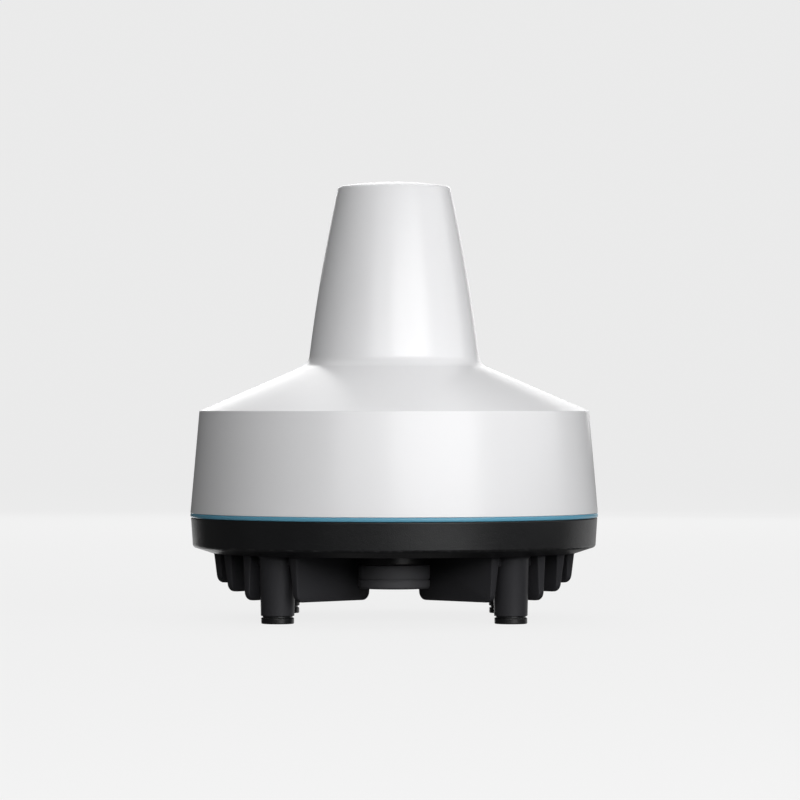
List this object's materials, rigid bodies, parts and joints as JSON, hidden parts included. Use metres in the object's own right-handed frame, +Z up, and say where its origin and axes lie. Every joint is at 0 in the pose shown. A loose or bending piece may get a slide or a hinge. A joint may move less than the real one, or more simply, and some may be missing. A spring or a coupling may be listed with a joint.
{
  "type": "gnss receiver head",
  "caption": "Outdoor satellite receiver head: white tapered radome on a finned black base with mounting posts and a capped coaxial port underneath.",
  "frame": {"origin": "on the radome's axis, in the plane of the four feet", "axes": "+Z up the radome's axis; X and Y parallel to the sides of the square of posts"},
  "size_m": [0.1506, 0.1506, 0.1613],
  "materials": {
    "radome_white": "gloss white moulded radome",
    "ring_blue": "satin blue trim",
    "seal_rubber": "black silicone",
    "base_black": "satin black textured powder coat on aluminium",
    "collar_black": "black acetal",
    "insert_brass": "bright brass",
    "steel": "stainless steel",
    "cap_black": "black glass-filled nylon",
    "nickel": "nickel plated brass",
    "insulator_white": "white fluoropolymer",
    "contact_gold": "gold plated",
    "board_green": "green solder mask",
    "tinned": "tinned steel sheet",
    "chip_black": "black mould compound",
    "aluminium": "machined aluminium",
    "pad_grey": "grey thermal pad",
    "copper": "bare copper",
    "former_cream": "cream engineering plastic",
    "vent_black": "black nylon"
  },
  "bodies": {
    "head": {"radome": "radome_white", "trim_ring": "ring_blue", "radome_seal": "seal_rubber", "base_casting": "base_black", "cooling_fins": "base_black", "diagonal_plates": "base_black", "mounting_posts": "base_black", "foot_collars": "collar_black", "post_inserts": "insert_brass", "post_screws": "steel", "cover_washers": "seal_rubber", "cover_screws": "steel", "vent_seal": "seal_rubber", "vent_plug": "vent_black", "port_collar": "base_black", "coax_body": "nickel", "coax_seal": "seal_rubber", "coax_insulator": "insulator_white", "coax_contact": "contact_gold", "coax_washer": "steel", "coax_nut": "nickel", "board_standoffs": "nickel", "main_board": "board_green", "receiver_module": "tinned", "shield_can": "tinned", "power_module": "chip_black", "heat_block": "aluminium", "thermal_pad": "pad_grey", "port_socket": "insulator_white", "feed_socket": "contact_gold", "plane_spacers": "nickel", "ground_plane": "aluminium", "plane_screws": "steel", "amplifier_can": "tinned", "feed_coax": "copper", "helix_hub": "former_cream", "helix_former": "former_cream", "helix_arms": "copper", "helix_cap": "former_cream"},
    "gasket": {"cap_gasket": "seal_rubber"},
    "cap": {"port_cap": "cap_black"}
  },
  "joints": [
    {"name": "cap_travel", "type": "slide", "parent": "head", "child": "gasket", "axis": [0, 0, -1], "range_m": [0, 0.00726]},
    {"name": "cap_turn", "type": "hinge", "parent": "gasket", "child": "cap", "pos_m": [0, -0.038, 0.0126], "axis": [0, 0, -1], "range_deg": [0, 2880]}
  ],
  "couplings": [
    {"joint": "cap_turn", "follows": "cap_travel", "rad_per_m": 6926.7}
  ]
}
